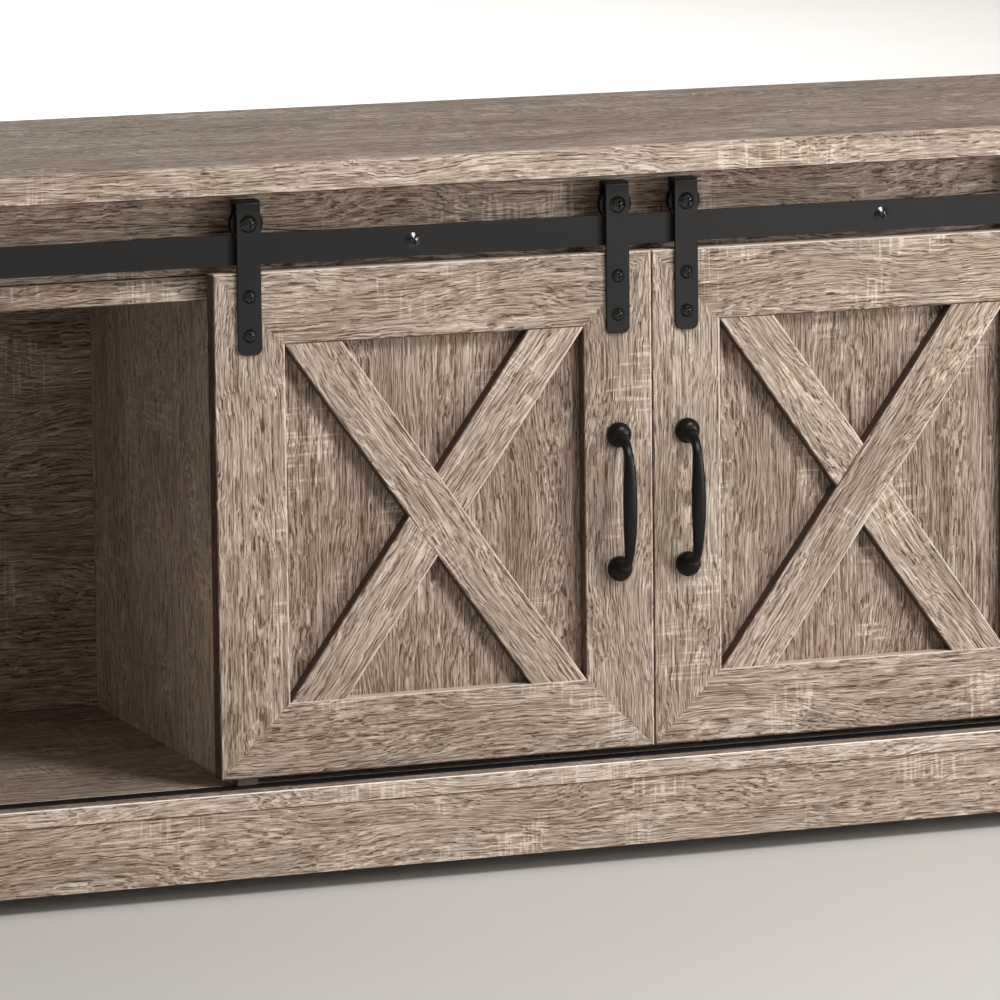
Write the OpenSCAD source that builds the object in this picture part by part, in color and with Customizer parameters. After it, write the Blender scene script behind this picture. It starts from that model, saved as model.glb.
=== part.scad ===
// Low TV stand with two sliding barn doors on an exposed track.
// X runs along the stand, -Y is the front, +Z is up, and the origin is on the floor at the middle.
// Inside the modules Y is counted from the plane of the door faces; stand() puts that plane in place.

/* [Overall] */
// Width over the top board
total_w = 1500; // [1480:10:1600]
// Height from the floor to the top
total_h = 600; // [600:1:620]
// Thickness of the top board
top_t = 25; // [18:1:25]
// Thickness of panels, dividers, shelves and the bottom board
board_t = 15; // [15:1:16]
// How far the top board reaches past each side panel
side_overhang = 15; // [0:1:20]
// How far the top and bottom boards stand in front of the door faces
front_overhang = 24; // [20:1:27]
// Door face to the front edges of the carcass
carcass_setback = 20; // [20:1:26]
// Door face to the back edges of the boards and side panels
carcass_depth = 396; // [360:1:420]

/* [Base] */
// Gap under the base, which is the height of the feet
foot_h = 16; // [12:1:24]
// Height of the apron and the other base rails
apron_h = 56; // [48:1:56]
// How far the base stands back from the edge of the bottom board
base_setback = 2; // [1:1:20]

/* [Compartments] */
// Centre of the stand to the outer face of each divider
divider_reach = 364; // [360:1:370]
// Clear height of the compartments
compartment_h = 399; // [395:1:400]
// Thickness of the board that closes the compartments at the top
sub_top_t = 20; // [18:1:20]
// Radius of the two cable holes in the back
cable_hole_r = 25; // [20:1:35]

/* [Doors] */
// Width of one door
door_w = 379.5; // [375:0.5:385]
// Height of one door
door_h = 415; // [410:1:415]
// Thickness of a door
door_t = 16; // [16:1:18]
// Gap between the closed doors
door_gap = 1; // [1:0.5:3]
// Gap between a door and the bottom board
door_clear = 7; // [6:1:8]
// Width of stiles and rails
frame_w = 60; // [50:1:70]
// Depth of the field behind the frame's face
field_depth = 12; // [8:1:12]
// Length of a brace's cut along the rail
brace_cut = 49; // [40:1:60]

/* [Track] */
// Height of the track bar
bar_h = 25; // [20:1:25]
// Thickness of the track bar
bar_t = 4.5; // [4:0.5:5]
// Radius of a roller's tread
tread_r = 8.8; // [8:0.1:9]
// Radius of a roller's flanges
flange_r = 13.9; // [12:0.1:14]
// Width of a hanger strap
strap_w = 20; // [16:1:20]
// Thickness of a hanger strap
strap_t = 3; // [2.5:0.5:3]
// Distance between the two inner track screws
track_screw_pitch = 416; // [400:1:420]

/* [Handles] */
// Distance between the feet of a handle
handle_span = 112; // [96:1:128]
// Door face to the front of a handle
handle_reach = 30; // [28:1:32]

/* [Hidden] */
$fn = 48;

oak = [0.60, 0.52, 0.45];
oak_dark = [0.45, 0.38, 0.32];
black = [0.16, 0.16, 0.17];
nylon = [0.72, 0.70, 0.66];
zinc = [0.70, 0.71, 0.72];

LEFT = -1;
RIGHT = 1;

// Heights, from the floor up
bottom_z = foot_h + apron_h;
floor_z = bottom_z + board_t;
door_z = floor_z + door_clear;
ceiling_z = floor_z + compartment_h;
header_z = ceiling_z + sub_top_t;
top_z = total_h - top_t;
bar_lift = 6;
bar_z = door_z + door_h + bar_lift;
bar_top_z = bar_z + bar_h;
bar_mid_z = bar_z + bar_h / 2;

// Widths, from the centre outwards
side_outer = total_w / 2 - side_overhang;
side_inner = side_outer - board_t;
divider_inner = divider_reach - board_t;
centre_half = board_t / 2;
base_half = total_w / 2 - base_setback;

// Depths, from the door faces
back_t = 3;
back_face_y = carcass_depth - 1;
sheet_y = back_face_y - back_t;
stand_depth = handle_reach + carcass_depth;
door_plane_y = handle_reach - stand_depth / 2;
header_y = carcass_setback + 3;
rail_t = 15;

// Rollers are drawn just clear of the bar, so that the faces stay apart over the whole travel
roll_clear = 0.2;
axle_z = bar_top_z + tread_r + roll_clear;
axle_r = 2.5;
wheel_bore_r = axle_r + 0.05;
wheel_t = 7;
wheel_gap = 9.5;
wheel_y = wheel_gap / 2;
groove_t = bar_t + 0.6;
bar_y = wheel_y - bar_t / 2;

// Straps and their screws, down from the upper edge of the door
strap_rise = 5.1;
strap_reach = 67;
strap_screw_drops = [19, 51];
strap_top_z = axle_z + flange_r + strap_rise;
strap_bottom_z = door_z + door_h - strap_reach;
strap_screw_zs = [for (drop = strap_screw_drops) door_z + door_h - drop];
strap_xs = [frame_w / 2, door_w - frame_w / 2];

bar_half = side_outer;
track_screw_xs = [for (k = [-1.5, -0.5, 0.5, 1.5]) k * track_screw_pitch];
track_head_r = 6.8;
track_head_h = 2;
stop_w = 12;
stop_t = 11;
stop_h = 26;

// Guide channel: a slot in the bottom board under the back half of the doors
slot_front = 4.5;
slot_back = 11.5;
slot_depth = 5;
channel_wall = 1;
lip_reach = 12;
channel_half = total_w / 2 - 12;
block_w = 17;
block_t = 5;
block_x = door_w - 24;
block_sunk = 6;
block_z = floor_z - slot_depth + 1;

// Fixings of the carcass, and the row of shelf pin holes
screw_ys = [60, 205, 350];
upright_xs = [-side_outer + board_t / 2, -divider_reach + board_t / 2, 0,
              divider_reach - board_t / 2, side_outer - board_t / 2];
shelf_z = floor_z + compartment_h / 2 - board_t / 2;
shelf_front = carcass_setback + 20;
pin_r = 2.5;
pin_ys = [shelf_front + 35, sheet_y - 40];
pin_steps = [-64, -32, 0, 32, 64];
cable_hole_xs = [-180, 180];
cable_hole_z = floor_z + 90;

// Puts parts that are drawn from the door faces into the frame of the stand
module stand() translate([0, door_plane_y, 0]) children();

// A box from its lowest to its highest corner
module box(low, high) translate(low) cube(high - low);

// Parts of the right door as drawn, or mirrored for the left door
module on_side(side) stand() mirror([side == LEFT ? 1 : 0, 0, 0]) children();

// A round bar along Y, from y0 to y1
module rod_y(x, z, y0, y1, r) translate([x, y0, z]) rotate([-90, 0, 0]) cylinder(r = r, h = y1 - y0);

// A flat plate along Y whose outline is drawn in X and Z
module plate(y0, y1) translate([0, y1, 0]) rotate([90, 0, 0]) linear_extrude(y1 - y0) children();

// Cross recess in a screw head whose top is at the origin and faces -Y
module cross_recess(size, depth) {
    for (turn = [0, 90]) rotate([0, turn, 0])
        translate([-size / 2, -0.1, -size / 8]) cube([size, depth + 0.1, size / 4]);
}

// Domed head on the face y0, towards -Y
module dome_head(r, h) {
    ball_r = (r * r + h * h) / (2 * h);
    intersection() {
        translate([0, ball_r - h, 0]) sphere(ball_r);
        rotate([90, 0, 0]) cylinder(r = r + 1, h = h + 1);
    }
}

// ---------- carcass ----------

module carcass_screw(x, y) translate([x, y, bottom_z]) {
    cylinder(r = 5, h = 4);
    cylinder(r = 3.25, h = 45);
}

module carcass_screws() color(zinc) stand() all_carcass_screws();

module all_carcass_screws() for (x = upright_xs, y = screw_ys) carcass_screw(x, y);

module top_board() color(oak) stand()
    box([-total_w / 2, -front_overhang, top_z], [total_w / 2, carcass_depth, total_h]);

module header_rail() color(oak_dark) stand() difference() {
    box([-side_inner, header_y, header_z], [side_inner, header_y + rail_t, top_z]);
    for (x = track_screw_xs) rod_y(x, bar_mid_z, header_y - 1, header_y + rail_t + 1, 3);
}

module sub_top_board() color(oak) stand()
    box([-side_inner, carcass_setback, ceiling_z], [side_inner, sheet_y, header_z]);

module bottom_board() color(oak) stand() difference() {
    box([-total_w / 2, -front_overhang, bottom_z], [total_w / 2, carcass_depth, floor_z]);
    box([-channel_half, slot_front - channel_wall, floor_z - slot_depth - channel_wall],
        [channel_half, slot_back + channel_wall, floor_z + 1]);
    all_carcass_screws();
}

module side_panel(side) color(oak) stand() difference() {
    translate([side < 0 ? -side_outer : side_inner, carcass_setback, floor_z])
        cube([board_t, carcass_depth - carcass_setback, top_z - floor_z]);
    all_carcass_screws();
}

// Shelf pin holes, drilled right through so that one row serves both sides
module pin_holes(x) for (y = pin_ys, step = pin_steps)
    translate([x - board_t, y, shelf_z - pin_r + step]) rotate([0, 90, 0])
        cylinder(r = pin_r, h = 2 * board_t);

module blind_pin_holes(side) for (y = pin_ys, step = pin_steps)
    translate([side * (divider_inner - 1), y, shelf_z - pin_r + step])
        rotate([0, side * 90, 0]) cylinder(r = pin_r, h = 9);

module divider(side) color(oak) stand() difference() {
    translate([side < 0 ? -divider_reach : divider_inner, carcass_setback, floor_z])
        cube([board_t, sheet_y - carcass_setback, compartment_h]);
    blind_pin_holes(side);
    all_carcass_screws();
}

module centre_divider() color(oak) stand() difference() {
    box([-centre_half, carcass_setback + 10, floor_z], [centre_half, sheet_y, ceiling_z]);
    pin_holes(0);
    all_carcass_screws();
}

module shelf(side) color(oak) stand() {
    inner = centre_half + 1;
    outer = divider_inner - 1;
    translate([side < 0 ? -outer : inner, shelf_front, shelf_z])
        cube([outer - inner, sheet_y - shelf_front - 2, board_t]);
}

module shelf_pins() color(zinc) stand() for (side = [LEFT, RIGHT], y = pin_ys) {
    translate([side * (divider_inner - 9), y, shelf_z - pin_r])
        rotate([0, side * 90, 0]) cylinder(r = pin_r, h = 17);
    translate([side * 0.2, y, shelf_z - pin_r]) rotate([0, side * 90, 0]) cylinder(r = pin_r, h = 16);
}

module back_sheet(x0, x1) box([x0, sheet_y, floor_z], [x1, back_face_y, top_z]);

back_joint = divider_reach - board_t / 2;

module back_panel_left() color(oak_dark) stand() back_sheet(-side_inner, -back_joint - 0.25);

module back_panel_right() color(oak_dark) stand() back_sheet(back_joint + 0.25, side_inner);

module back_panel_centre() color(oak_dark) stand() difference() {
    back_sheet(-back_joint + 0.25, back_joint - 0.25);
    for (x = cable_hole_xs) rod_y(x, cable_hole_z, sheet_y - 1, carcass_depth + 1, cable_hole_r);
}

// Thin heads on the back sheets, along the boards behind them
nail_zs = [for (k = [0:4]) floor_z + 40 + k * (compartment_h - 80) / 4];
nail_xs = [for (k = [-6:6]) k * 108];
nail_r = 3;
nail_h = 0.8;

module back_nails() color(zinc) stand() {
    for (x = [-back_joint - 4, -back_joint + 4, 0, back_joint - 4, back_joint + 4], z = nail_zs)
        rod_y(x, z, back_face_y, back_face_y + nail_h, nail_r);
    for (x = nail_xs)
        rod_y(x, ceiling_z + sub_top_t / 2, back_face_y, back_face_y + nail_h, nail_r);
}

// ---------- base ----------

base_front = base_setback - front_overhang;
base_back = carcass_depth - base_setback;

module base_front_apron() color(oak) stand()
    box([-base_half, base_front, foot_h], [base_half, base_front + rail_t, bottom_z]);

module base_rear_rail() color(oak_dark) stand()
    box([-base_half, base_back - rail_t, foot_h], [base_half, base_back, bottom_z]);

module base_side_rail(side) color(oak) stand()
    translate([side < 0 ? -base_half : base_half - rail_t, base_front + rail_t, foot_h])
        cube([rail_t, base_back - base_front - 2 * rail_t, apron_h]);

cross_rail_x = 250;

module base_cross_rails() color(oak_dark) stand() for (x = [-cross_rail_x, cross_rail_x])
    box([x - rail_t / 2, base_front + rail_t, foot_h], [x + rail_t / 2, base_back - rail_t, bottom_z]);

// Moulded glides pressed up under the rails: corners, and both ends of each cross rail
foot_r = 16;
foot_xs = [-base_half + 20, -cross_rail_x, cross_rail_x, base_half - 20];
foot_ys = [base_front + 105, base_back - 40];

module base_feet() color(black) stand()
    for (x = foot_xs, y = foot_ys)
        translate([x, y, 0]) rotate_extrude()
            polygon([[0, 0], [foot_r - 2, 0], [foot_r, 2], [foot_r, foot_h - 3], [foot_r - 2, foot_h],
                     [0, foot_h]]);

// ---------- track ----------

module guide_channel() color(black) stand() {
    base_z = floor_z - slot_depth - channel_wall;
    difference() {
        union() {
            box([-channel_half, slot_front - channel_wall, base_z],
                [channel_half, slot_back + channel_wall, floor_z]);
            box([-channel_half, slot_front - lip_reach, floor_z], [channel_half, slot_front, floor_z + 1]);
        }
        box([-channel_half - 1, slot_front, base_z + channel_wall],
            [channel_half + 1, slot_back, floor_z + 2]);
    }
}

module track_bar() color(black) stand() difference() {
    box([-bar_half, bar_y, bar_z], [bar_half, bar_y + bar_t, bar_top_z]);
    for (x = track_screw_xs) rod_y(x, bar_mid_z, bar_y - 1, bar_y + bar_t + 1, 3);
}

// Each spacer has a wider base against the header
module track_spacers() color(black) stand() for (x = track_screw_xs) difference() {
    union() {
        rod_y(x, bar_mid_z, bar_y + bar_t, header_y, 6.5);
        rod_y(x, bar_mid_z, header_y - 3, header_y, 10);
    }
    rod_y(x, bar_mid_z, bar_y, header_y + 1, 3);
}

// Button heads with a hexagon socket
module track_screws() color(black) stand() for (x = track_screw_xs) {
    difference() {
        translate([x, bar_y, bar_mid_z]) dome_head(track_head_r, track_head_h);
        translate([x, bar_y - track_head_h - 0.1, bar_mid_z]) rotate([-90, 0, 0])
            cylinder(r = 2.9, h = 1.6, $fn = 6);
    }
    rod_y(x, bar_mid_z, bar_y, header_y + rail_t + 4, 3);
}

// Blocks that sit over the ends of the bar and end the travel
module track_end_stops() color(black) stand() for (side = [LEFT, RIGHT]) difference() {
    translate([side * (bar_half - 1 - stop_w / 2) - stop_w / 2, wheel_y - stop_t / 2, bar_top_z - 10])
        cube([stop_w, stop_t, stop_h]);
    box([-bar_half - 1, bar_y, bar_z], [bar_half + 1, bar_y + bar_t, bar_top_z]);
}

// ---------- doors, drawn as the right door ----------

field_x0 = frame_w;
field_x1 = door_w - frame_w;
field_h = door_h - 2 * frame_w;
panel_lap = 8;

// Moves a door's own outline, with its corner at the meeting edge, to its place
module door_place() translate([door_gap / 2, 0, door_z]) children();

module panel_blank() plate(field_depth, door_t) translate([field_x0 - panel_lap, frame_w - panel_lap])
    square([field_x1 - field_x0 + 2 * panel_lap, field_h + 2 * panel_lap]);

module drill_strap_holes() for (x = strap_xs, z = strap_screw_zs) rod_y(x, z - door_z, -1, 12, 2);

module drill_handle_holes() for (s = [-1, 1])
    rod_y(frame_w / 2, door_h / 2 + s * handle_span / 2, -1, door_t + 1, 2.25);

// A mitred frame board: outline drawn in X and Z, rebated for the panel
module frame_board(outline) difference() {
    plate(0, door_t) polygon(outline);
    panel_blank();
    drill_strap_holes();
    drill_handle_holes();
    guide_block_blank();
}

// Outlines of the four frame boards, each from the door's corners to the field's corners
field_z0 = frame_w;
field_z1 = door_h - frame_w;
stile_inner = [[0, 0], [field_x0, field_z0], [field_x0, field_z1], [0, door_h]];
stile_outer = [[door_w, 0], [door_w, door_h], [field_x1, field_z1], [field_x1, field_z0]];
rail_bottom = [[0, 0], [door_w, 0], [field_x1, field_z0], [field_x0, field_z0]];
rail_top = [[0, door_h], [field_x0, field_z1], [field_x1, field_z1], [door_w, door_h]];

module door_frame_board(side, outline) color(oak) on_side(side) door_place() frame_board(outline);

module door_panel(side) color(oak) on_side(side) door_place() panel_blank();

// Outlines of the two diagonals: each end is cut along a rail and starts in the field's corner
rising = [[field_x0, field_z0], [field_x0 + brace_cut, field_z0], [field_x1, field_z1],
          [field_x1 - brace_cut, field_z1]];
falling = [[field_x0, field_z1], [field_x0 + brace_cut, field_z1], [field_x1, field_z0],
           [field_x1 - brace_cut, field_z0]];

module door_long_brace(side) color(oak) on_side(side) door_place() plate(0, field_depth) polygon(rising);

// The crossing diagonal is in two pieces, cut off against the long brace
module door_short_brace(side, z0, z1) color(oak) on_side(side) door_place() plate(0, field_depth)
    difference() {
        intersection() {
            polygon(falling);
            translate([0, z0]) square([door_w, z1 - z0]);
        }
        polygon(rising);
    }

// Block let into the bottom rail that runs in the guide channel
module guide_block_blank()
    translate([block_x - block_w / 2, (slot_front + slot_back - block_t) / 2, block_z - door_z])
        cube([block_w, block_t, door_z - block_z + block_sunk]);

module door_guide_block(side) color(nylon) on_side(side) door_place() guide_block_blank();

// ---------- hangers and rollers ----------

// Strap folded over the roller: front leg on the door, short back leg behind the roller
module hanger() {
    r = 6;
    half = strap_w / 2;
    back = wheel_gap + strap_t;
    difference() {
        union() {
            plate(-strap_t, 0) {
                translate([-half, strap_bottom_z + r]) square([strap_w, strap_top_z - strap_bottom_z - r]);
                translate([-half + r, strap_bottom_z]) square([strap_w - 2 * r, r + 1]);
                for (s = [-1, 1]) translate([s * (half - r), strap_bottom_z + r]) circle(r);
            }
            box([-half, -strap_t, strap_top_z - strap_t], [half, back, strap_top_z]);
            box([-half, wheel_gap, bar_top_z + 2], [half, back, strap_top_z]);
        }
        rod_y(0, axle_z, -strap_t - 1, back + 1, axle_r);
        for (z = strap_screw_zs) rod_y(0, z, -strap_t - 1, 1, 2.25);
        for (y = [-strap_t, back]) fold_corner(y, y < 0 ? 1 : -1);
    }
}

// What the bend takes off an outer corner of the fold
module fold_corner(y, inward) {
    r = strap_t;
    difference() {
        translate([-strap_w, y - 1, strap_top_z - r]) cube([2 * strap_w, 2, r + 1]);
        translate([-strap_w - 1, y + inward * r, strap_top_z - r]) rotate([0, 90, 0])
            cylinder(r = r, h = 2 * strap_w + 2);
    }
}

module at_straps() for (x = strap_xs) translate([door_gap / 2 + x, 0, 0]) children();

module door_hangers(side) color(black) on_side(side) at_straps() hanger();

axle_head_r = 7.2;
axle_head_h = 4;
strap_head_r = 5.6;
strap_head_h = 3.5;

module axle_bolt() {
    difference() {
        translate([0, -strap_t, axle_z]) dome_head(axle_head_r, axle_head_h);
        translate([0, -strap_t - axle_head_h, axle_z]) cross_recess(8, 2);
    }
    rod_y(0, axle_z, -strap_t, wheel_gap + strap_t + 4.5, axle_r);
    translate([0, wheel_gap + strap_t, axle_z]) rotate([-90, 0, 0]) cylinder(r = 5.7, h = 3.5, $fn = 6);
}

module door_axle_bolts(side) color(black) on_side(side) at_straps() axle_bolt();

module strap_screw(z) {
    difference() {
        translate([0, -strap_t, z]) dome_head(strap_head_r, strap_head_h);
        translate([0, -strap_t - strap_head_h, z]) cross_recess(5.6, 1.6);
    }
    rod_y(0, z, -strap_t, 12, 2);
}

module door_hanger_screws(side) color(black) on_side(side) at_straps()
    for (z = strap_screw_zs) strap_screw(z);

// Grooved roller on its axle, turned about Y
module wheel(side, x) color(black) on_side(side)
    translate([door_gap / 2 + x, wheel_y - wheel_t / 2, axle_z]) rotate([-90, 0, 0]) rotate_extrude()
        polygon([[wheel_bore_r, 0], [flange_r - 0.6, 0], [flange_r, 0.6],
                 [flange_r, (wheel_t - groove_t) / 2 - 0.4], [tread_r, (wheel_t - groove_t) / 2],
                 [tread_r, (wheel_t + groove_t) / 2], [flange_r, (wheel_t + groove_t) / 2 + 0.4],
                 [flange_r, wheel_t - 0.6], [flange_r - 0.6, wheel_t], [wheel_bore_r, wheel_t]]);

// ---------- handles ----------

grip_t = 8;
grip_y = handle_reach - grip_t / 2;
bow_r = 200;
bow_angle = 11;
elbow_r = 16;
elbow_angle = 79;

// Part of a ring in the Y-Z plane that starts at the origin heading up and bends towards +Y
module bend(r, angle, width) translate([0, r, 0]) rotate([0, -90, 0]) rotate([0, 0, -90])
    rotate_extrude(angle = angle, $fn = 96) translate([r, 0]) grip_section(width);

module grip_section(width) {
    c = 2.4;
    x = grip_t / 2;
    y = width / 2;
    polygon([[-x, c - y], [c - x, -y], [x - c, -y], [x, c - y], [x, y - c], [x - c, y], [c - x, y],
             [-x, y - c]]);
}

// A shallow bow with an elbow at each end that turns into a foot
module handle_bow() translate([0, -grip_y, 0]) {
    bow_end = [0, bow_r * (1 - cos(bow_angle)), bow_r * sin(bow_angle)];
    translate([0, bow_end[1], -bow_end[2]]) rotate([bow_angle, 0, 0]) bend(bow_r, 2 * bow_angle, 11);
    for (end = [0, 1]) mirror([0, 0, end]) translate(bow_end) rotate([-bow_angle, 0, 0])
        bend(elbow_r, elbow_angle, 8);
}

// Round flared foot, from the door face towards -Y
module handle_foot() rotate([90, 0, 0]) rotate_extrude()
    polygon([[0, 0], [10.5, 0], [10.5, 2.5], [9, 4.5], [6, 8], [4.6, 12], [0, 12]]);

module door_handle(side) color(black) on_side(side) door_place()
    translate([frame_w / 2, 0, door_h / 2]) difference() {
        union() {
            handle_bow();
            for (s = [-1, 1]) translate([0, 0, s * handle_span / 2]) handle_foot();
        }
        for (s = [-1, 1]) rod_y(0, s * handle_span / 2, -8, 1, 2);
    }

module door_handle_screws(side) color(zinc) on_side(side) door_place() for (s = [-1, 1]) {
    z = door_h / 2 + s * handle_span / 2;
    rod_y(frame_w / 2, z, -8, door_t, 2);
    rod_y(frame_w / 2, z, door_t, door_t + 2, 4);
}

// ---------- nodes ----------

top_board();
header_rail();
sub_top_board();
bottom_board();
side_panel(LEFT);  // side_panel_left
side_panel(RIGHT);  // side_panel_right
divider(LEFT);  // divider_left
divider(RIGHT);  // divider_right
centre_divider();
shelf(LEFT);  // shelf_left
shelf(RIGHT);  // shelf_right
shelf_pins();
back_panel_left();
back_panel_centre();
back_panel_right();
back_nails();
base_front_apron();
base_rear_rail();
base_side_rail(LEFT);  // base_side_rail_left
base_side_rail(RIGHT);  // base_side_rail_right
base_cross_rails();
base_feet();
carcass_screws();
guide_channel();
track_bar();
track_spacers();
track_screws();
track_end_stops();
door_frame_board(LEFT, stile_outer);  // left_door_stile_outer
door_frame_board(LEFT, stile_inner);  // left_door_stile_inner
door_frame_board(LEFT, rail_top);  // left_door_rail_top
door_frame_board(LEFT, rail_bottom);  // left_door_rail_bottom
door_panel(LEFT);  // left_door_panel
door_long_brace(LEFT);  // left_door_long_brace
door_short_brace(LEFT, door_h / 2, door_h);  // left_door_upper_brace
door_short_brace(LEFT, 0, door_h / 2);  // left_door_lower_brace
door_handle(LEFT);  // left_door_handle
door_handle_screws(LEFT);  // left_door_handle_screws
door_hangers(LEFT);  // left_door_hangers
door_hanger_screws(LEFT);  // left_door_hanger_screws
door_axle_bolts(LEFT);  // left_door_axle_bolts
door_guide_block(LEFT);  // left_door_guide_block
wheel(LEFT, strap_xs[1]);  // left_wheel_outer
wheel(LEFT, strap_xs[0]);  // left_wheel_inner
door_frame_board(RIGHT, stile_outer);  // right_door_stile_outer
door_frame_board(RIGHT, stile_inner);  // right_door_stile_inner
door_frame_board(RIGHT, rail_top);  // right_door_rail_top
door_frame_board(RIGHT, rail_bottom);  // right_door_rail_bottom
door_panel(RIGHT);  // right_door_panel
door_long_brace(RIGHT);  // right_door_long_brace
door_short_brace(RIGHT, door_h / 2, door_h);  // right_door_upper_brace
door_short_brace(RIGHT, 0, door_h / 2);  // right_door_lower_brace
door_handle(RIGHT);  // right_door_handle
door_handle_screws(RIGHT);  // right_door_handle_screws
door_hangers(RIGHT);  // right_door_hangers
door_hanger_screws(RIGHT);  // right_door_hanger_screws
door_axle_bolts(RIGHT);  // right_door_axle_bolts
door_guide_block(RIGHT);  // right_door_guide_block
wheel(RIGHT, strap_xs[1]);  // right_wheel_outer
wheel(RIGHT, strap_xs[0]);  // right_wheel_inner
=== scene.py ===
import math

import bmesh
import bpy
from mathutils import Matrix, Vector


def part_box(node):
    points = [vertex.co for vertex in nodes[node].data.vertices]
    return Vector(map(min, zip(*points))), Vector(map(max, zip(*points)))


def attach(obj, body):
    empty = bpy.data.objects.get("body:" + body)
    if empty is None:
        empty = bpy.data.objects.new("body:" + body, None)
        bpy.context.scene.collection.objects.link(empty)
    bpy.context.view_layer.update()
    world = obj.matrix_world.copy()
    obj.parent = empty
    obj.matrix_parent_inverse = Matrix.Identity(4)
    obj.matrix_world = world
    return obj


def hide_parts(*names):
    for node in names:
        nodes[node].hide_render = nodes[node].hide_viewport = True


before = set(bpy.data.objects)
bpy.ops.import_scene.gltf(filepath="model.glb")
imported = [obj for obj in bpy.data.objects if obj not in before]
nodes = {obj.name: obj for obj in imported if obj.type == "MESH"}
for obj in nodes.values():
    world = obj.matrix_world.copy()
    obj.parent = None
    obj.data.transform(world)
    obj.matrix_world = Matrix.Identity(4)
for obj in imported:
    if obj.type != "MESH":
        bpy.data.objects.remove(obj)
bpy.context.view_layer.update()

scene = bpy.context.scene
scene.view_settings.view_transform = "Standard"


# ---------- shader building ----------

class Shader:
    """A material's node tree with one call per node; sockets, numbers or colours go in."""

    def __init__(self, name):
        self.material = bpy.data.materials.new(name)
        self.material.use_nodes = True
        self.tree = self.material.node_tree
        self.surface = self.tree.nodes["Principled BSDF"]

    def put(self, socket, value):
        if isinstance(value, bpy.types.NodeSocket):
            self.tree.links.new(value, socket)
        else:
            socket.default_value = value

    def set(self, **values):
        for name, value in values.items():
            self.put(self.surface.inputs[name.replace("_", " ")], value)

    def math(self, operation, a, b=0.0, clamp=False):
        node = self.tree.nodes.new("ShaderNodeMath")
        node.operation = operation
        node.use_clamp = clamp
        self.put(node.inputs[0], a)
        self.put(node.inputs[1], b)
        return node.outputs[0]

    def dot(self, vector, axis):
        node = self.tree.nodes.new("ShaderNodeVectorMath")
        node.operation = "DOT_PRODUCT"
        self.put(node.inputs[0], vector)
        node.inputs[1].default_value = axis
        return node.outputs["Value"]

    def swing(self, value, amount):
        """A noise value as a swing about zero."""
        return self.math("MULTIPLY", self.math("SUBTRACT", value, 0.5), amount)

    def vector(self, x, y, z):
        node = self.tree.nodes.new("ShaderNodeCombineXYZ")
        for socket, value in zip(node.inputs, (x, y, z)):
            self.put(socket, value)
        return node.outputs[0]

    def add(self, a, b):
        node = self.tree.nodes.new("ShaderNodeVectorMath")
        self.put(node.inputs[0], a)
        self.put(node.inputs[1], b)
        return node.outputs[0]

    def stretch(self, vector, scale, offset=(0.0, 0.0, 0.0)):
        node = self.tree.nodes.new("ShaderNodeVectorMath")
        node.operation = "MULTIPLY_ADD"
        self.put(node.inputs[0], vector)
        node.inputs[1].default_value = scale
        node.inputs[2].default_value = offset
        return node.outputs[0]

    def noise(self, vector, detail=2.0, roughness=0.5):
        node = self.tree.nodes.new("ShaderNodeTexNoise")
        self.put(node.inputs["Vector"], vector)
        node.inputs["Scale"].default_value = 1.0
        node.inputs["Detail"].default_value = detail
        node.inputs["Roughness"].default_value = roughness
        return node.outputs["Fac"]

    def step(self, value, low, high, out_low=0.0, out_high=1.0):
        node = self.tree.nodes.new("ShaderNodeMapRange")
        node.interpolation_type = "SMOOTHSTEP"
        self.put(node.inputs["Value"], value)
        limits = {"From Min": low, "From Max": high, "To Min": out_low, "To Max": out_high}
        for name, number in limits.items():
            node.inputs[name].default_value = number
        return node.outputs[0]

    def ramp(self, value, stops):
        node = self.tree.nodes.new("ShaderNodeValToRGB")
        elements = node.color_ramp.elements
        while len(elements) < len(stops):
            elements.new(0.5)
        for element, (position, colour) in zip(elements, stops):
            element.position = position
            element.color = (*colour, 1.0)
        self.put(node.inputs[0], value)
        return node.outputs[0]

    def mix(self, factor, a, b):
        node = self.tree.nodes.new("ShaderNodeMix")
        node.data_type = "RGBA"
        self.put(node.inputs[0], factor)
        self.put(node.inputs[6], a if isinstance(a, bpy.types.NodeSocket) else (*a, 1.0))
        self.put(node.inputs[7], b if isinstance(b, bpy.types.NodeSocket) else (*b, 1.0))
        return node.outputs[2]

    def mix_vectors(self, factor, a, b):
        node = self.tree.nodes.new("ShaderNodeMix")
        node.data_type = "VECTOR"
        self.put(node.inputs[0], factor)
        self.put(node.inputs[4], a)
        self.put(node.inputs[5], b)
        return node.outputs[1]

    def bump(self, height, strength, distance):
        node = self.tree.nodes.new("ShaderNodeBump")
        node.inputs["Strength"].default_value = strength
        node.inputs["Distance"].default_value = distance
        self.put(node.inputs["Height"], height)
        self.put(self.surface.inputs["Normal"], node.outputs[0])

    def position(self):
        return self.tree.nodes.new("ShaderNodeTexCoord").outputs["Object"]

    def face_normal(self):
        return self.tree.nodes.new("ShaderNodeNewGeometry").outputs["True Normal"]


# ---------- wood ----------

ALONG_X = (1, 0, 0)
ALONG_Y = (0, 1, 0)
ALONG_Z = (0, 0, 1)
# Painted highlight and painted shade lines along the edges of the door boards and braces
EDGE_LIGHT_WIDTH = 0.0013
# The painted highlight and shade line has its full strength from here to the edge
EDGE_LIGHT_CORE = 0.6 * EDGE_LIGHT_WIDTH
EDGE_LIGHT_STRENGTH = 0.6
RIB_SPACING = 0.0043
OAK_MIDDLE = 0.57
OAK_STOPS = (
    (0.00, (0.070, 0.045, 0.032)),
    (0.30, (0.205, 0.146, 0.110)),
    (0.55, (0.345, 0.264, 0.208)),
    (0.80, (0.490, 0.398, 0.328)),
    (1.00, (0.700, 0.605, 0.525)),
)


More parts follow.
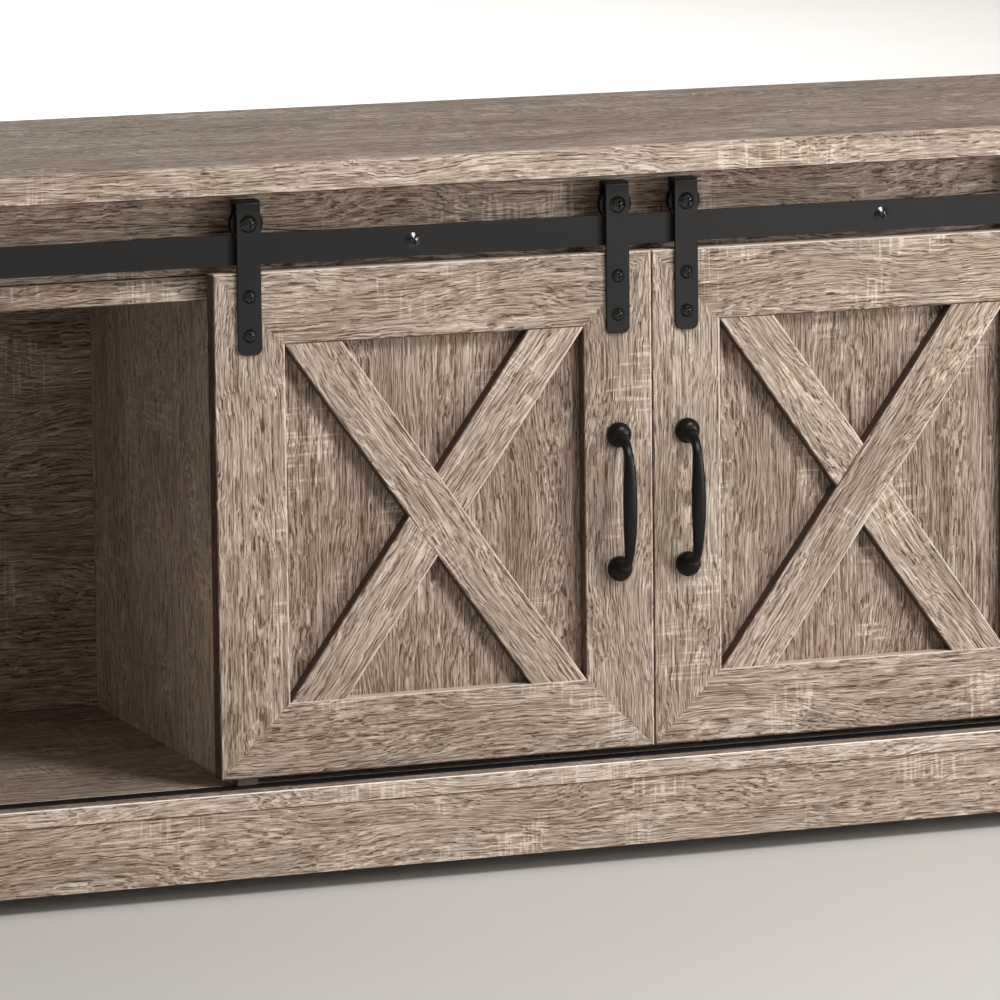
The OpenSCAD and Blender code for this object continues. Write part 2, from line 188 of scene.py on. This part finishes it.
def oak(name, grain, seed, tone=0.0, painted_side_light=None, painted_edge_lines=()):
    """Embossed oak decor, in metres. Its grain runs along the unit vector grain.

    painted_side_light paints light and shade by facing: sides that face along it are painted paler and
    the opposite ones darker.
    rubbed lists (axis, start, end): a painted highlight line at the end, and a painted shade line at
    the start.
    """
    s = Shader(name)
    grain = Vector(grain).normalized()
    across = Vector((1, 0, 0)) if abs(grain.x) < 0.5 else Vector((0, 0, 1))
    across = (across - grain * across.dot(grain)).normalized()
    depth = grain.cross(across)
    place = s.stretch(s.position(), (1, 1, 1), (0.37 * seed, 0.73 * seed, 0.53 * seed))
    u, v, w = (s.dot(place, axis) for axis in (grain, across, depth))
    end_face = s.step(s.math("ABSOLUTE", s.dot(s.face_normal(), grain)), 0.70, 0.75)
    raw = s.mix_vectors(end_face, s.vector(u, v, w), s.vector(v, w, u))

    # The grain wanders up to a centimetre from straight, in long waves and in short ripples
    waves = s.swing(s.noise(s.stretch(raw, (5, 16, 16)), 1.0), 0.045)
    ripples = s.swing(s.noise(s.stretch(raw, (60, 100, 100)), 2.0), 0.0032)
    drift = s.math("ADD", waves, ripples)
    flow = s.add(raw, s.vector(0.0, drift, drift))

    blotch = s.noise(s.stretch(flow, (4, 14, 14)), 2.0)
    bands = s.noise(s.stretch(flow, (6, 130, 130)), 2.0, 0.6)
    lines = s.noise(s.stretch(flow, (15, 780, 780)), 1.0, 0.6)
    fibres = s.noise(s.stretch(flow, (62, 1400, 1400)), 1.0)
    wander = s.math("MULTIPLY", s.noise(s.stretch(flow, (9, 90, 90)), 2.0), 26.0)
    turns = s.math("MULTIPLY", s.dot(flow, (0.0, 1.0, 0.8)), 2 * math.pi / RIB_SPACING)
    ribs = s.math("SINE", s.math("ADD", turns, wander))
    growth = s.noise(s.stretch(flow, (2.0, 13, 13)), 1.0)
    rings = s.math("SINE", s.math("MULTIPLY", growth, 150.0))
    sawn_area = s.step(s.noise(s.stretch(raw, (12, 16, 16), (3, 5, 7)), 1.0), 0.56, 0.66)
    saw_cuts = s.step(s.noise(s.stretch(raw, (330, 24, 24)), 1.0), 0.53, 0.64)
    cross_cuts = s.step(s.noise(s.stretch(raw, (30, 420, 420)), 1.0), 0.56, 0.66)
    saw = s.math("MULTIPLY", sawn_area, s.math("MAXIMUM", saw_cuts, cross_cuts))

    value = OAK_MIDDLE + tone
    for part, amount in ((blotch, 0.45), (bands, 0.50), (lines, 1.05), (fibres, 1.12)):
        value = s.math("ADD", value, s.swing(part, amount))
    for part, amount in ((rings, 0.04), (ribs, 0.12), (saw, 0.28)):
        value = s.math("ADD", value, s.math("MULTIPLY", part, amount))
    figure = s.math("ADD", s.math("MULTIPLY", lines, 0.5), s.math("MULTIPLY", fibres, 0.5))
    pores = s.step(figure, 0.45, 0.36)
    value = s.math("SUBTRACT", value, s.math("MULTIPLY", pores, 0.20))
    # Painted light and shade by the direction a face looks
    if painted_side_light:
        value = s.math("ADD", value, s.dot(s.face_normal(), painted_side_light))
    # A painted highlight line at the end of each axis, a painted shade line at its start
    for axis, start, end in painted_edge_lines:
        along = s.dot(s.position(), axis)
        painted_highlight = s.step(along, end - EDGE_LIGHT_WIDTH, end - EDGE_LIGHT_CORE)
        dark = s.step(along, start + EDGE_LIGHT_WIDTH, start + EDGE_LIGHT_CORE)
        line = s.math("SUBTRACT", painted_highlight, dark)
        value = s.math("ADD", value, s.math("MULTIPLY", line, EDGE_LIGHT_STRENGTH))
    height = s.math("ADD", s.math("ADD", fibres, lines), s.math("MULTIPLY", ribs, 0.3))
    height = s.math("SUBTRACT", height, pores)
    s.set(Base_Color=s.ramp(s.math("ADD", value, 0.0, clamp=True), OAK_STOPS),
          Roughness=s.step(value, 0.0, 1.0, 0.66, 0.50))
    s.surface.inputs["Specular IOR Level"].default_value = 0.30
    s.bump(height, 0.6, 0.0006)
    return s.material


def arris(name):
    """Eased edge of a board with painted light: a painted highlight where it faces up or right, painted
    shade where it faces left or down.
    """
    s = Shader(name)
    # Facing towards the light at the upper right decides where highlight and shade are painted
    facing = s.dot(s.face_normal(), (0.8, 0.0, 0.6))
    painted_highlight = s.step(facing, 0.33, 0.40)
    dark = s.step(facing, -0.10, -0.18)
    # Noise varies the colour of the painted highlight and the roughness
    edge_noise = s.noise(s.stretch(s.position(), (160, 160, 160)), 2.0)
    painted_highlight_colour = s.mix(s.step(edge_noise, 0.25, 0.55), (0.66, 0.58, 0.50), (1.0, 0.96, 0.90))
    # The edge's own colour, painted darker as shade where it faces left or down
    plain = s.mix(dark, (0.30, 0.228, 0.178), (0.045, 0.032, 0.024))
    s.set(Base_Color=s.mix(painted_highlight, plain, painted_highlight_colour), Roughness=s.step(edge_noise, 0.3, 0.7, 0.62, 0.48))
    return s.material


# ---------- metal and plastic ----------

def coated_metal(name, colour, roughness, shine=0.3, grain_size=0.0009, relief=0.00004):
    """Powder coat: fine orange peel and a faint change of tone."""
    s = Shader(name)
    place = s.position()
    tone = s.noise(s.stretch(place, (9, 9, 9)), 3.0)
    peel = s.noise(s.stretch(place, (1 / grain_size,) * 3), 2.0)
    dark = tuple(c * 0.75 for c in colour)
    light = tuple(c * 1.3 for c in colour)
    cloud = s.math("ADD", s.math("MULTIPLY", tone, 0.6), s.math("MULTIPLY", peel, 0.4))
    s.set(Base_Color=s.mix(s.step(cloud, 0.35, 0.65), dark, light),
          Roughness=s.step(peel, 0.3, 0.7, roughness - 0.06, roughness + 0.06))
    s.surface.inputs["Specular IOR Level"].default_value = shine
    s.bump(peel, 0.5, relief)
    return s.material


def plated(name, dark, light, smoothest):
    """Plated steel with a faint spangle; smoothest is its least roughness."""
    s = Shader(name)
    place = s.position()
    spangle = s.noise(s.stretch(place, (420, 420, 420)), 3.0)
    s.set(Base_Color=s.mix(s.step(spangle, 0.35, 0.65), dark, light),
          Roughness=s.step(spangle, 0.3, 0.7, smoothest, smoothest + 0.14))
    s.surface.inputs["Metallic"].default_value = 1.0
    s.bump(spangle, 0.1, 0.00002)
    return s.material


def moulded(name, colour, roughness):
    """Moulded plastic with a fine, matt surface."""
    s = Shader(name)
    place = s.position()
    texture = s.noise(s.stretch(place, (1500, 1500, 1500)), 2.0)
    tone = s.noise(s.stretch(place, (60, 60, 60)), 2.0)
    s.set(Base_Color=s.mix(s.step(tone, 0.35, 0.65), tuple(c * 0.88 for c in colour), colour),
          Roughness=s.step(texture, 0.3, 0.7, roughness - 0.05, roughness + 0.05))
    s.bump(texture, 0.3, 0.00004)
    return s.material


# ---------- finishes on the CAD nodes ----------

WELD_GAP = 0.00001
BOARD_EASE = 0.0008
STOP_EASE = 0.0005
SMALL_EASE = 0.0004
SHARP_ANGLE = math.radians(35)


def finish_node(name, material, bevel=0.0, edge=None):
    """Gives a CAD node its material and, where asked, eased edges with a material of their own, which
    on the boards carries painted highlight and painted shade.
    """
    piece = nodes[name]
    for slot in piece.material_slots:
        slot.material = material
    if not bevel:
        return
    weld = piece.modifiers.new("Weld", "WELD")
    weld.merge_threshold = WELD_GAP
    ease = piece.modifiers.new("Eased edges", "BEVEL")
    ease.width = bevel
    ease.segments = 1
    ease.limit_method = "ANGLE"
    ease.angle_limit = SHARP_ANGLE
    if edge:
        piece.data.materials.append(edge)
        ease.material = len(piece.material_slots) - 1


BOARDS = {
    "top_board": ALONG_X, "header_rail": ALONG_X, "sub_top_board": ALONG_X, "bottom_board": ALONG_X,
    "side_panel_left": ALONG_Z, "side_panel_right": ALONG_Z, "divider_left": ALONG_Z,
    "divider_right": ALONG_Z, "centre_divider": ALONG_Z, "shelf_left": ALONG_X, "shelf_right": ALONG_X,
    "back_panel_left": ALONG_X, "back_panel_centre": ALONG_X, "back_panel_right": ALONG_X,
    "base_front_apron": ALONG_X, "base_rear_rail": ALONG_X, "base_side_rail_left": ALONG_Y,
    "base_side_rail_right": ALONG_Y, "base_cross_rails": ALONG_Y,
}
# Tone per board; the header rail and sub-top board are darkened as painted shade, and the dividers
# lightened as painted light
TONES_AND_PAINTED_LIGHT = {
    "top_board": 0.04, "header_rail": -0.10, "sub_top_board": -0.17, "bottom_board": 0.16,
    "divider_left": 0.21, "divider_right": 0.21,
}
DOOR_SEEDS = {"left": 31, "right": 53}
DOOR_TONES = {"panel": -0.14, "rail_top": -0.07, "rail_bottom": 0.02}
# Painted light and shade on the braces' side faces: paler where they face right, darker where they face
# left
BRACE_PAINTED_SIDE_LIGHT = (0.78, 0.0, 0.12)
# Length of a brace's level end cut
BRACE_CUT = 0.049
# Painted shade: their upper faces are painted darker than their front edges
PAINTED_TOP_SHADE = {"top_board": (0.0, 0.0, -0.10), "bottom_board": (0.0, 0.0, -0.22)}
# Their edges stay as the CAD has them
BARE_EDGED = ("base_front_apron", "base_rear_rail")
# Eased board edges get painted highlight and painted shade by their facing
board_edge_painted_light = arris("board_edge_painted_light")
for index, (name, grain) in enumerate(BOARDS.items()):
    bevel = 0.0 if name in BARE_EDGED else BOARD_EASE
    wood = oak(f"oak_{name}", grain, index + 1, TONES_AND_PAINTED_LIGHT.get(name, 0.0), PAINTED_TOP_SHADE.get(name))
    finish_node(name, wood, bevel, board_edge_painted_light)


def extent(name, axis):
    """How far a node's mesh goes along an axis: the axis, the start and the end."""
    along = [Vector(axis).dot(vertex.co) for vertex in nodes[name].data.vertices]
    return axis, min(along), max(along)


def brace_grain(side):
    """Direction of the long brace of a door, from its box."""
    low, high = (Vector(corner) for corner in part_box(f"{side}_door_long_brace"))
    rise = high.z - low.z
    run = high.x - low.x - BRACE_CUT
    return (run if side == "right" else -run, 0, rise)


for side, seed in DOOR_SEEDS.items():
    steep = brace_grain(side)
    crossing = (-steep[0], 0, steep[2])
    grains = {
        "stile_outer": ALONG_Z, "stile_inner": ALONG_Z, "rail_top": ALONG_X, "rail_bottom": ALONG_X,
        "panel": ALONG_Z, "long_brace": steep, "upper_brace": crossing, "lower_brace": crossing,
    }
    for index, (part, grain) in enumerate(grains.items()):
        name = f"{side}_door_{part}"
        look = (f"oak_{name}", grain, seed + 2 * index, DOOR_TONES.get(part, 0.0))
        if part.startswith(("stile", "rail")):
            # Painted highlight along their right and top edges, painted shade along their left and
            # bottom edges
            painted_edge_lines = [extent(name, ALONG_X), extent(name, ALONG_Z)]
            finish_node(name, oak(*look, painted_edge_lines=painted_edge_lines))
        elif part == "panel":
            finish_node(name, oak(*look))
        else:
            # Painted highlight along one long edge and painted shade along the other, with painted
            # light and shade on the side faces
            across = Vector((grain[2], 0, -grain[0])).normalized()
            painted_edge_lines = [extent(name, across)]
            finish_node(name, oak(*look, painted_side_light=BRACE_PAINTED_SIDE_LIGHT, painted_edge_lines=painted_edge_lines))

black_coat = coated_metal("black_powder_coat", (0.0072, 0.0072, 0.0075), 0.50)
handle_coat = coated_metal("black_iron", (0.0035, 0.0035, 0.0037), 0.34, 0.22, 0.0012, 0.00006)
roller_coat = coated_metal("roller_black", (0.007, 0.007, 0.0073), 0.26)
black_zinc = plated("black_zinc_plate", (0.045, 0.045, 0.046), (0.075, 0.075, 0.076), 0.12)
bright_zinc = plated("zinc_plate", (0.44, 0.45, 0.46), (0.62, 0.62, 0.60), 0.28)
nylon = moulded("nylon", (0.17, 0.125, 0.092), 0.45)
foot_plastic = moulded("foot_plastic", (0.022, 0.021, 0.020), 0.50)

for name in ("track_bar", "track_spacers", "guide_channel"):
    finish_node(name, black_coat)
finish_node("track_screws", black_zinc)
finish_node("track_end_stops", black_coat, STOP_EASE)
for name in ("shelf_pins", "carcass_screws", "back_nails"):
    finish_node(name, bright_zinc)
finish_node("base_feet", foot_plastic)
for side in ("left", "right"):
    finish_node(f"{side}_door_hangers", black_coat, SMALL_EASE)
    finish_node(f"{side}_door_hanger_screws", black_zinc)
    finish_node(f"{side}_door_axle_bolts", black_zinc)
    finish_node(f"{side}_door_guide_block", nylon, SMALL_EASE)
    finish_node(f"{side}_door_handle_screws", bright_zinc)
    for place in ("outer", "inner"):
        finish_node(f"{side}_wheel_{place}", roller_coat)


# ---------- pulls ----------

# Half of the grip from its middle to the foot: height, reach from the door, width, thickness, in metres
GRIP = (
    (0.0000, 0.0260, 0.0120, 0.0080),
    (0.0100, 0.0259, 0.0118, 0.0079),
    (0.0200, 0.0256, 0.0110, 0.0076),
    (0.0300, 0.0250, 0.0097, 0.0071),
    (0.0390, 0.0238, 0.0082, 0.0066),
    (0.0450, 0.0217, 0.0075, 0.0064),
    (0.0490, 0.0185, 0.0078, 0.0068),
    (0.0515, 0.0140, 0.0092, 0.0080),
    (0.0530, 0.0085, 0.0118, 0.0105),
    (0.0540, 0.0040, 0.0140, 0.0130),
)
# Foot from the door outwards: radius and reach
FOOT = (
    (0.0104, 0.0000), (0.0105, 0.0012), (0.0105, 0.0034), (0.0103, 0.0044), (0.0098, 0.0052),
    (0.0092, 0.0055), (0.0090, 0.0060), (0.0088, 0.0068), (0.0082, 0.0077), (0.0070, 0.0086),
    (0.0050, 0.0094), (0.0025, 0.0098), (0.0, 0.0099),
)
FOOT_RADIUS = max(radius for radius, out in FOOT)
FOOT_SIDES = 40
SECTION_SIDES = 24
SECTION_POWER = 0.72
SMOOTHING = 4


def smooth_path(points):
    """Catmull-Rom curve through rows of numbers."""
    rows = [Vector(p) for p in points]
    path = []
    for i in range(len(rows) - 1):
        before = rows[max(i - 1, 0)]
        start, end = rows[i], rows[i + 1]
        after = rows[min(i + 2, len(rows) - 1)]
        for k in range(SMOOTHING):
            t = k / SMOOTHING
            path.append(0.5 * (2 * start + (end - before) * t
                               + (2 * before - 5 * start + 4 * end - after) * t ** 2
                               + (3 * start - before - 3 * end + after) * t ** 3))
    path.append(rows[-1])
    return path


def section_point(turn, width, thickness):
    """A rounded oblong, flatter at the front, as (across, out)."""
    c, s = math.cos(turn), math.sin(turn)
    across = math.copysign(abs(c) ** SECTION_POWER, c) * width / 2
    out = math.copysign(abs(s) ** SECTION_POWER, s) * thickness / 2
    return across, out


def add_grip(mesh, middle):
    """The bowed grip: rounded sections along a curve from foot to foot."""
    half = smooth_path(GRIP)
    whole = [(-p[0], p[1], p[2], p[3]) for p in reversed(half[1:])] + [tuple(p) for p in half]
    rings = []
    for i, (height, reach, width, thickness) in enumerate(whole):
        a, b = whole[max(i - 1, 0)], whole[min(i + 1, len(whole) - 1)]
        heading = Vector((0, a[1] - b[1], b[0] - a[0])).normalized()
        outward = Vector((0, -heading.z, heading.y))
        centre = middle + Vector((0, -reach, height))
        ring = []
        for k in range(SECTION_SIDES):
            across, out = section_point(2 * math.pi * k / SECTION_SIDES, width, thickness)
            ring.append(mesh.verts.new(centre + Vector((across, 0, 0)) + outward * out))
        rings.append(ring)
    for lower, upper in zip(rings, rings[1:]):
        for k in range(SECTION_SIDES):
            n = (k + 1) % SECTION_SIDES
            mesh.faces.new((lower[k], lower[n], upper[n], upper[k]))
    mesh.faces.new(rings[0][::-1])
    mesh.faces.new(rings[-1])


def add_foot(mesh, centre):
    """A round foot, turned from its profile."""
    rings = []
    for radius, out in FOOT[:-1]:
        ring = []
        for k in range(FOOT_SIDES):
            turn = 2 * math.pi * k / FOOT_SIDES
            rim = Vector((radius * math.cos(turn), -out, radius * math.sin(turn)))
            ring.append(mesh.verts.new(centre + rim))
        rings.append(ring)
    tip = mesh.verts.new(centre + Vector((0, -FOOT[-1][1], 0)))
    for inner, outer in zip(rings, rings[1:]):
        for k in range(FOOT_SIDES):
            n = (k + 1) % FOOT_SIDES
            mesh.faces.new((inner[k], inner[n], outer[n], outer[k]))
    for k in range(FOOT_SIDES):
        mesh.faces.new((rings[-1][k], rings[-1][(k + 1) % FOOT_SIDES], tip))
    mesh.faces.new(rings[0][::-1])


def make_pull(side):
    """A door's pull, in place of the plain one of the CAD."""
    node = f"{side}_door_handle"
    low, high = (Vector(corner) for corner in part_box(node))
    middle = Vector(((low.x + high.x) / 2, high.y, (low.z + high.z) / 2))
    foot_height = (high.z - low.z) / 2 - FOOT_RADIUS
    mesh = bmesh.new()
    add_grip(mesh, middle)
    for end in (-1, 1):
        add_foot(mesh, middle + Vector((0, 0, end * foot_height)))
    bmesh.ops.recalc_face_normals(mesh, faces=mesh.faces)
    for face in mesh.faces:
        face.smooth = True
    data = bpy.data.meshes.new(f"{side}_pull")
    mesh.to_mesh(data)
    pull = bpy.data.objects.new(f"{side}_pull", data)
    bpy.context.collection.objects.link(pull)
    data.materials.append(handle_coat)
    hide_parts(node)
    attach(pull, f"{side}_door")


for side in ("left", "right"):
    make_pull(side)


# ---------- studio ----------

FLOOR_REACH = 30.0
LAMP_WHITE = (1.0, 0.985, 0.965)
WORLD_COLOUR = (1.0, 0.93, 0.85, 1.0)
WORLD_STRENGTH = 0.32


def make_floor():
    r = FLOOR_REACH
    data = bpy.data.meshes.new("floor")
    corners = [(-r, -r, 0), (r, -r, 0), (r, r, 0), (-r, r, 0)]
    data.from_pydata(corners, [], [(0, 1, 2, 3)])
    floor = bpy.data.objects.new("floor", data)
    bpy.context.collection.objects.link(floor)
    s = Shader("floor")
    tone = s.noise(s.stretch(s.position(), (3, 3, 3)), 3.0)
    s.set(Base_Color=s.mix(tone, (0.74, 0.73, 0.71), (0.78, 0.77, 0.75)), Roughness=0.8)
    data.materials.append(s.material)


def area_light(name, place, target, size, power, colour=(1, 1, 1)):
    data = bpy.data.lights.new(name, "AREA")
    data.size = size
    data.energy = power
    data.color = colour
    lamp = bpy.data.objects.new(name, data)
    lamp.location = place
    lamp.rotation_euler = (Vector(target) - Vector(place)).to_track_quat("-Z", "Y").to_euler()
    bpy.context.collection.objects.link(lamp)


make_floor()
area_light("key", (1.05, -2.25, 2.25), (0.0, -0.2, 0.3), 0.9, 58, LAMP_WHITE)
area_light("side_fill", (2.60, -2.60, 0.75), (0.1, -0.2, 0.4), 0.9, 48, LAMP_WHITE)
area_light("floor_glow", (0.0, 7.0, 3.5), (0.0, 8.0, 0.0), 6.0, 420)

world = bpy.data.worlds.new("studio")
scene.world = world
world.use_nodes = True
background = world.node_tree.nodes["Background"]
background.inputs["Color"].default_value = WORLD_COLOUR
background.inputs["Strength"].default_value = WORLD_STRENGTH


# ---------- camera ----------

# Solved from the edges of the stand
CAMERA_PLACE = (-2.0708, -5.3544, 1.1801)
AZIMUTH = math.radians(-20.519)
ELEVATION = math.radians(8.959)
ROLL = math.radians(-0.6316)
LENS = 244.85
SENSOR_WIDTH = 36.0


def make_camera():
    level = math.cos(ELEVATION)
    backward = Vector((math.sin(AZIMUTH) * level, -math.cos(AZIMUTH) * level, math.sin(ELEVATION)))
    right = (-backward).cross(Vector((0, 0, 1))).normalized()
    up = backward.cross(right)
    rolled_right = right * math.cos(ROLL) + up * math.sin(ROLL)
    rolled_up = up * math.cos(ROLL) - right * math.sin(ROLL)
    turn = Matrix((rolled_right, rolled_up, backward)).transposed().to_4x4()
    data = bpy.data.cameras.new("camera")
    data.sensor_width = SENSOR_WIDTH
    data.lens = LENS
    data.clip_end = 100.0
    camera = bpy.data.objects.new("camera", data)
    camera.matrix_world = Matrix.Translation(CAMERA_PLACE) @ turn
    bpy.context.collection.objects.link(camera)
    scene.camera = camera


make_camera()
